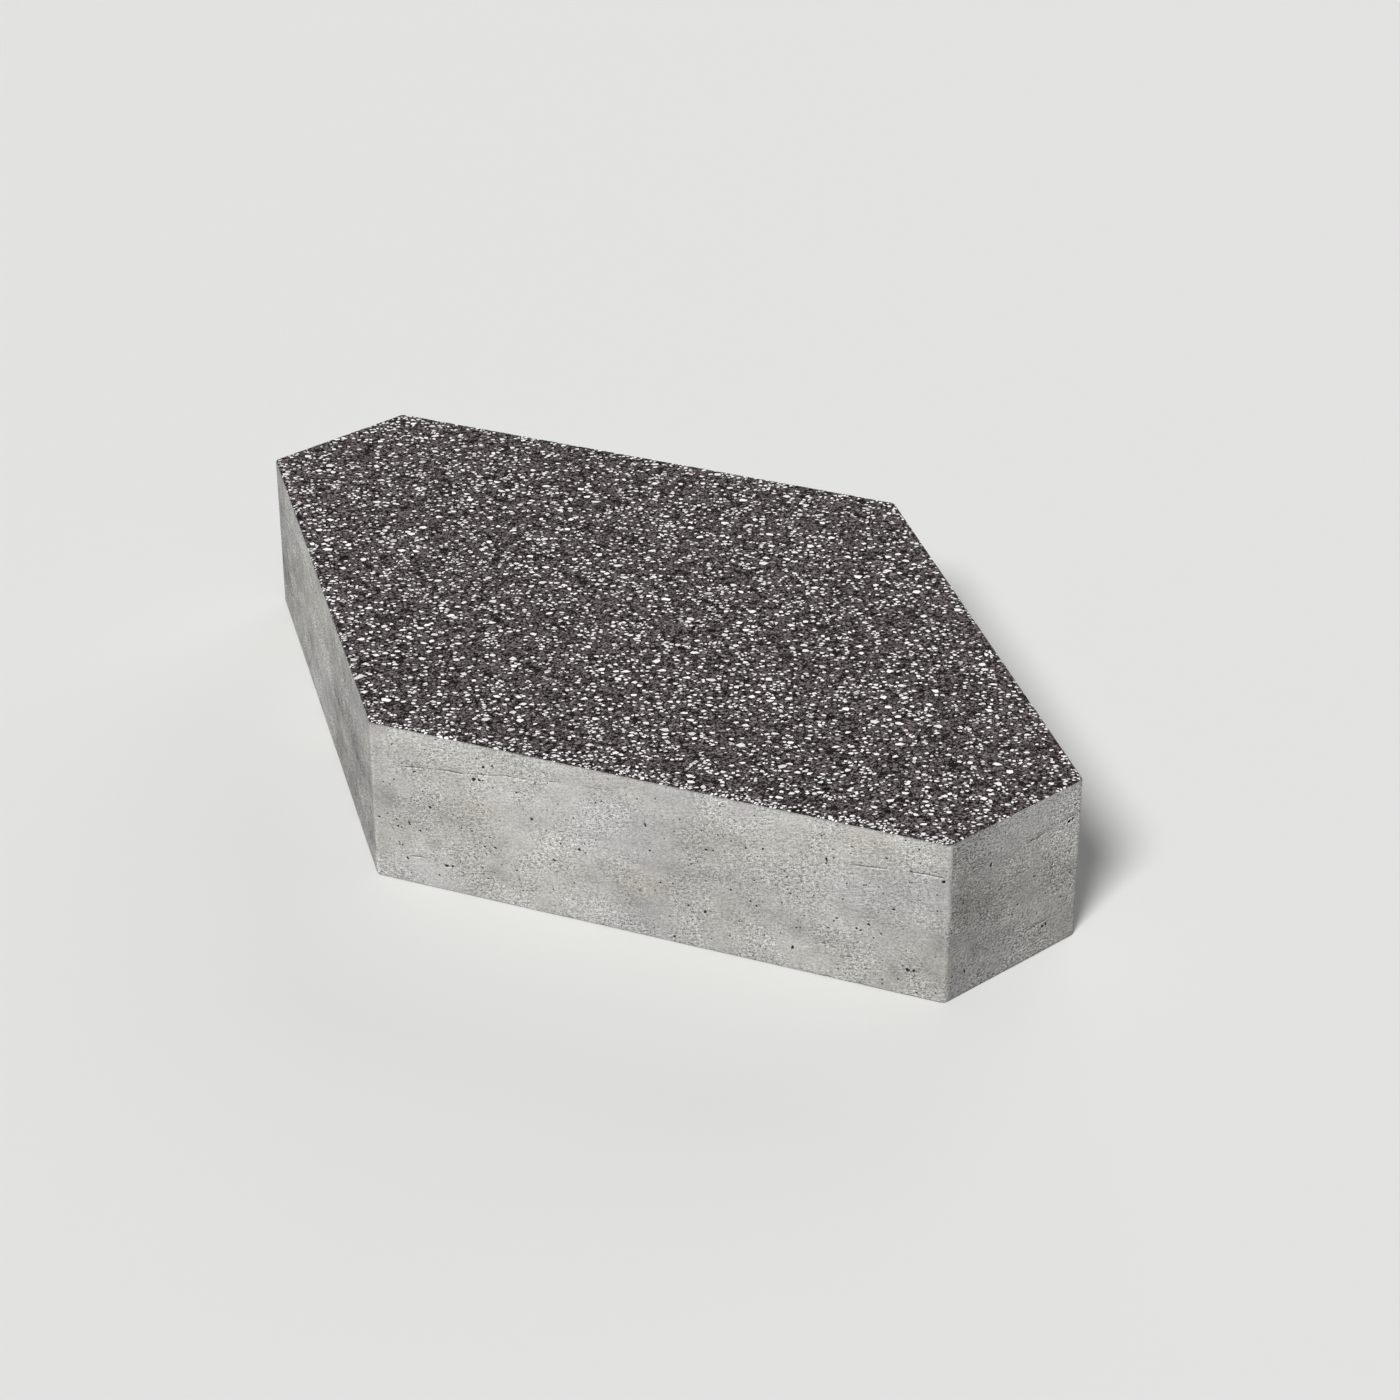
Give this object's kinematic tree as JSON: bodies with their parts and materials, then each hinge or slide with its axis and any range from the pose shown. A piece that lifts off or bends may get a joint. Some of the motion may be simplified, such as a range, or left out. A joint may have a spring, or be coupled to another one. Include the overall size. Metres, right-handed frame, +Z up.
{
  "type": "concrete paver",
  "caption": "Elongated hexagonal paver of cast concrete, light grey cement sides and a dark speckled wearing face, with small rounded edges; lies flat on its underside.",
  "frame": {"origin": "middle of the underside, on the bed it is laid on", "axes": "+X along the long axis from end face to end face, +Y across from point to point, +Z up out of the wearing face"},
  "size_m": [0.6, 0.399, 0.1],
  "materials": {
    "concrete": "matt cast cement sides; wearing face of dark facing concrete with pale and dark stone crumbs"
  },
  "bodies": {
    "root": {"paver": "concrete"}
  },
  "joints": []
}
